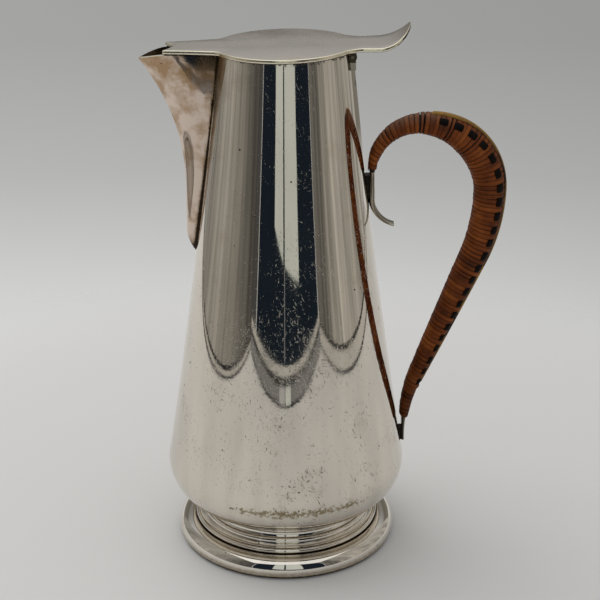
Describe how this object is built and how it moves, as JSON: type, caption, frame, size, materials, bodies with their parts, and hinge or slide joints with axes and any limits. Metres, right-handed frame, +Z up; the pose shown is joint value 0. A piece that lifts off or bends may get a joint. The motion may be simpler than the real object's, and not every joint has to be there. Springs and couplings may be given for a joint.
{
  "type": "coffee pot",
  "caption": "Tall tapering silver-plated coffee pot with a beak spout, a hinged flat lid with a curled thumb-piece, a moulded foot and a cane-bound loop handle.",
  "frame": {"origin": "centre of the foot's underside, on the surface that the pot stands on", "axes": "+Z up along the pot's axis, -X towards the spout, +X towards the handle, Y along the lid's hinge"},
  "size_m": [0.1369, 0.094, 0.2067],
  "materials": {
    "silver_plate": "polished and worn silver plate, with fine scratches",
    "nickel_silver": "bare nickel silver, dull",
    "solder": "soft grey solder",
    "cane_natural": "aged brown cane with a low sheen",
    "cane_black": "black-dyed cane"
  },
  "bodies": {
    "pot": {"body_shell": "silver_plate", "spout": "silver_plate", "foot": "silver_plate", "foot_wire": "silver_plate", "hinge_bearer": "silver_plate", "body_knuckle_near": "silver_plate", "body_knuckle_middle": "silver_plate", "body_knuckle_far": "silver_plate", "hinge_pin": "nickel_silver", "handle_core": "silver_plate", "handle_joint_upper": "solder", "handle_joint_lower": "solder", "cane_winding_1": "cane_natural", "cane_winding_2": "cane_natural", "cane_winding_3": "cane_natural", "cane_winding_4": "cane_natural", "plait_near": "cane_black", "plait_spine": "cane_natural", "plait_far": "cane_black"},
    "lid": {"lid_plate": "silver_plate", "lid_bezel": "silver_plate", "lid_knuckle_near": "silver_plate", "lid_knuckle_far": "silver_plate"}
  },
  "joints": [
    {"name": "lid_hinge", "type": "hinge", "parent": "pot", "child": "lid", "pos_m": [0.02453, 0, 0.19701], "axis": [0, 1, 0], "range_deg": [0, 90]}
  ]
}
